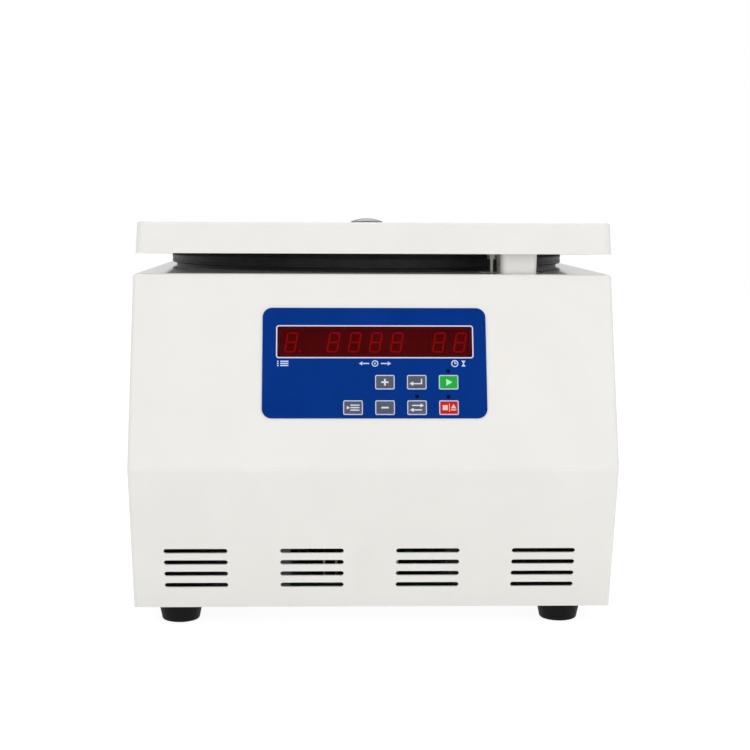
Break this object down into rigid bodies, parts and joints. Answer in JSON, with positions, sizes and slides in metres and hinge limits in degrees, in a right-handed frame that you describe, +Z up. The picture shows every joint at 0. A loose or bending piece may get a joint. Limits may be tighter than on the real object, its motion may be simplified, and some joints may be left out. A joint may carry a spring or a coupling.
{
  "type": "microplate centrifuge",
  "caption": "Bench microplate centrifuge: white sheet casing with sloped key panel, vents and feet, hinged lid ajar over a ring seal, swing-out rotor inside.",
  "frame": {"origin": "on the floor under the centre of the machine's box", "axes": "+X to the right of someone facing the key panel, +Y to the back, +Z up"},
  "size_m": [0.434, 0.55, 0.3666],
  "materials": {
    "body_paint": "smooth gloss powder coat, warm white",
    "pan_steel": "grey zinc-plated steel",
    "bowl_steel": "brushed stainless steel",
    "seal_rubber": "black rubber, satin",
    "foot_rubber": "black moulded rubber",
    "mount_rubber": "black rubber",
    "overlay_film": "dark blue printed polyester film",
    "window_red": "dark red tinted acrylic",
    "digit_module": "LED digit modules",
    "key_grey": "slate grey key film",
    "key_green": "green key film",
    "key_red": "red key film",
    "dome_steel": "snap domes",
    "circuit_board": "green solder mask",
    "aluminium": "machined aluminium",
    "motor_cast": "dark grey painted motor",
    "steel": "turned steel",
    "screw_steel": "bright zinc",
    "black_plastic": "black moulded plastic",
    "white_plastic": "white moulded nylon",
    "lens_clear": "clear polycarbonate",
    "bezel_grey": "satin aluminium"
  },
  "bodies": {
    "housing": {"casing": "body_paint", "base_plate": "pan_steel", "feet": "foot_rubber", "foot_screws": "screw_steel", "casing_screws": "screw_steel", "front_overlay": "overlay_film", "display_window": "window_red", "key_domes": "dome_steel", "display_board": "circuit_board", "led_digits": "digit_module", "rear_panel": "body_paint", "fan_frame": "black_plastic", "fan_guard": "screw_steel", "rear_screws": "screw_steel", "power_inlet": "black_plastic", "rocker_frame": "black_plastic", "fuse_caps": "black_plastic", "chamber_bowl": "bowl_steel", "chamber_seal": "seal_rubber", "motor_plate": "steel", "motor_housing": "motor_cast", "motor_bearings": "steel", "vibration_mounts": "mount_rubber", "motor_posts": "steel", "shaft_boot": "mount_rubber", "hinge_brackets": "steel", "hinge_pins": "steel", "hinge_screws": "screw_steel", "lock_housing": "pan_steel", "lock_well": "black_plastic", "microswitch": "black_plastic", "drive_board": "circuit_board", "heat_sink": "aluminium", "mains_filter": "steel"},
    "lid": {"lid_shell": "body_paint", "lid_liner": "body_paint", "lid_screws": "screw_steel", "hinge_leaves": "steel", "sight_glass_bezel": "bezel_grey", "sight_glass_lens": "lens_clear", "sight_glass_nut": "black_plastic", "lock_block": "white_plastic", "switch_bolt": "screw_steel", "switch_bolt_nut": "screw_steel"},
    "rotor": {"motor_shaft": "steel", "rotor_frame": "aluminium", "trunnion_pins": "steel", "rotor_cap": "aluminium"},
    "carrier_a": {"carrier_a": "aluminium"},
    "carrier_b": {"carrier_b": "aluminium"},
    "key_select": {"key_select": "key_grey"},
    "key_minus": {"key_minus": "key_grey"},
    "key_speed": {"key_speed": "key_grey"},
    "key_stop": {"key_stop": "key_red"},
    "key_plus": {"key_plus": "key_grey"},
    "key_enter": {"key_enter": "key_grey"},
    "key_start": {"key_start": "key_green"},
    "fan": {"fan_impeller": "black_plastic"},
    "rocker": {"power_rocker": "black_plastic"},
    "latch": {"lock_bolt": "steel"}
  },
  "joints": [
    {"name": "lid_hinge", "type": "hinge", "parent": "housing", "child": "lid", "pos_m": [0, 0.25947, 0.3285], "axis": [-1, 0, 0], "range_deg": [-1.82, 70.18]},
    {"name": "rotor_spin", "type": "hinge", "parent": "housing", "child": "rotor", "pos_m": [0, 0.025, 0.2565], "axis": [0, 0, 1], "continuous": true},
    {"name": "carrier_a_swing", "type": "hinge", "parent": "rotor", "child": "carrier_a", "pos_m": [0.083, 0.025, 0.2565], "axis": [0, -1, 0], "range_deg": [-4, 90]},
    {"name": "carrier_b_swing", "type": "hinge", "parent": "rotor", "child": "carrier_b", "pos_m": [-0.083, 0.025, 0.2565], "axis": [0, 1, 0], "range_deg": [-4, 90]},
    {"name": "key_select_press", "type": "slide", "parent": "housing", "child": "key_select", "axis": [0, 0.945, -0.3272], "range_m": [0, 0.0004], "stiffness_N_per_m": 600, "springref_m": -0.0005},
    {"name": "key_minus_press", "type": "slide", "parent": "housing", "child": "key_minus", "axis": [0, 0.945, -0.3272], "range_m": [0, 0.0004], "stiffness_N_per_m": 600, "springref_m": -0.0005},
    {"name": "key_speed_press", "type": "slide", "parent": "housing", "child": "key_speed", "axis": [0, 0.945, -0.3272], "range_m": [0, 0.0004], "stiffness_N_per_m": 600, "springref_m": -0.0005},
    {"name": "key_stop_press", "type": "slide", "parent": "housing", "child": "key_stop", "axis": [0, 0.945, -0.3272], "range_m": [0, 0.0004], "stiffness_N_per_m": 600, "springref_m": -0.0005},
    {"name": "key_plus_press", "type": "slide", "parent": "housing", "child": "key_plus", "axis": [0, 0.945, -0.3272], "range_m": [0, 0.0004], "stiffness_N_per_m": 600, "springref_m": -0.0005},
    {"name": "key_enter_press", "type": "slide", "parent": "housing", "child": "key_enter", "axis": [0, 0.945, -0.3272], "range_m": [0, 0.0004], "stiffness_N_per_m": 600, "springref_m": -0.0005},
    {"name": "key_start_press", "type": "slide", "parent": "housing", "child": "key_start", "axis": [0, 0.945, -0.3272], "range_m": [0, 0.0004], "stiffness_N_per_m": 600, "springref_m": -0.0005},
    {"name": "fan_spin", "type": "hinge", "parent": "housing", "child": "fan", "pos_m": [-0.11497, 0.26997, 0.12], "axis": [0, 1, 0], "continuous": true},
    {"name": "rocker_tilt", "type": "hinge", "parent": "housing", "child": "rocker", "pos_m": [0.05997, 0.26677, 0.062], "axis": [0, 0, -1], "range_deg": [0, 22]},
    {"name": "latch_slide", "type": "slide", "parent": "housing", "child": "latch", "axis": [-1, 0, 0], "range_m": [0, 0.012]}
  ]
}
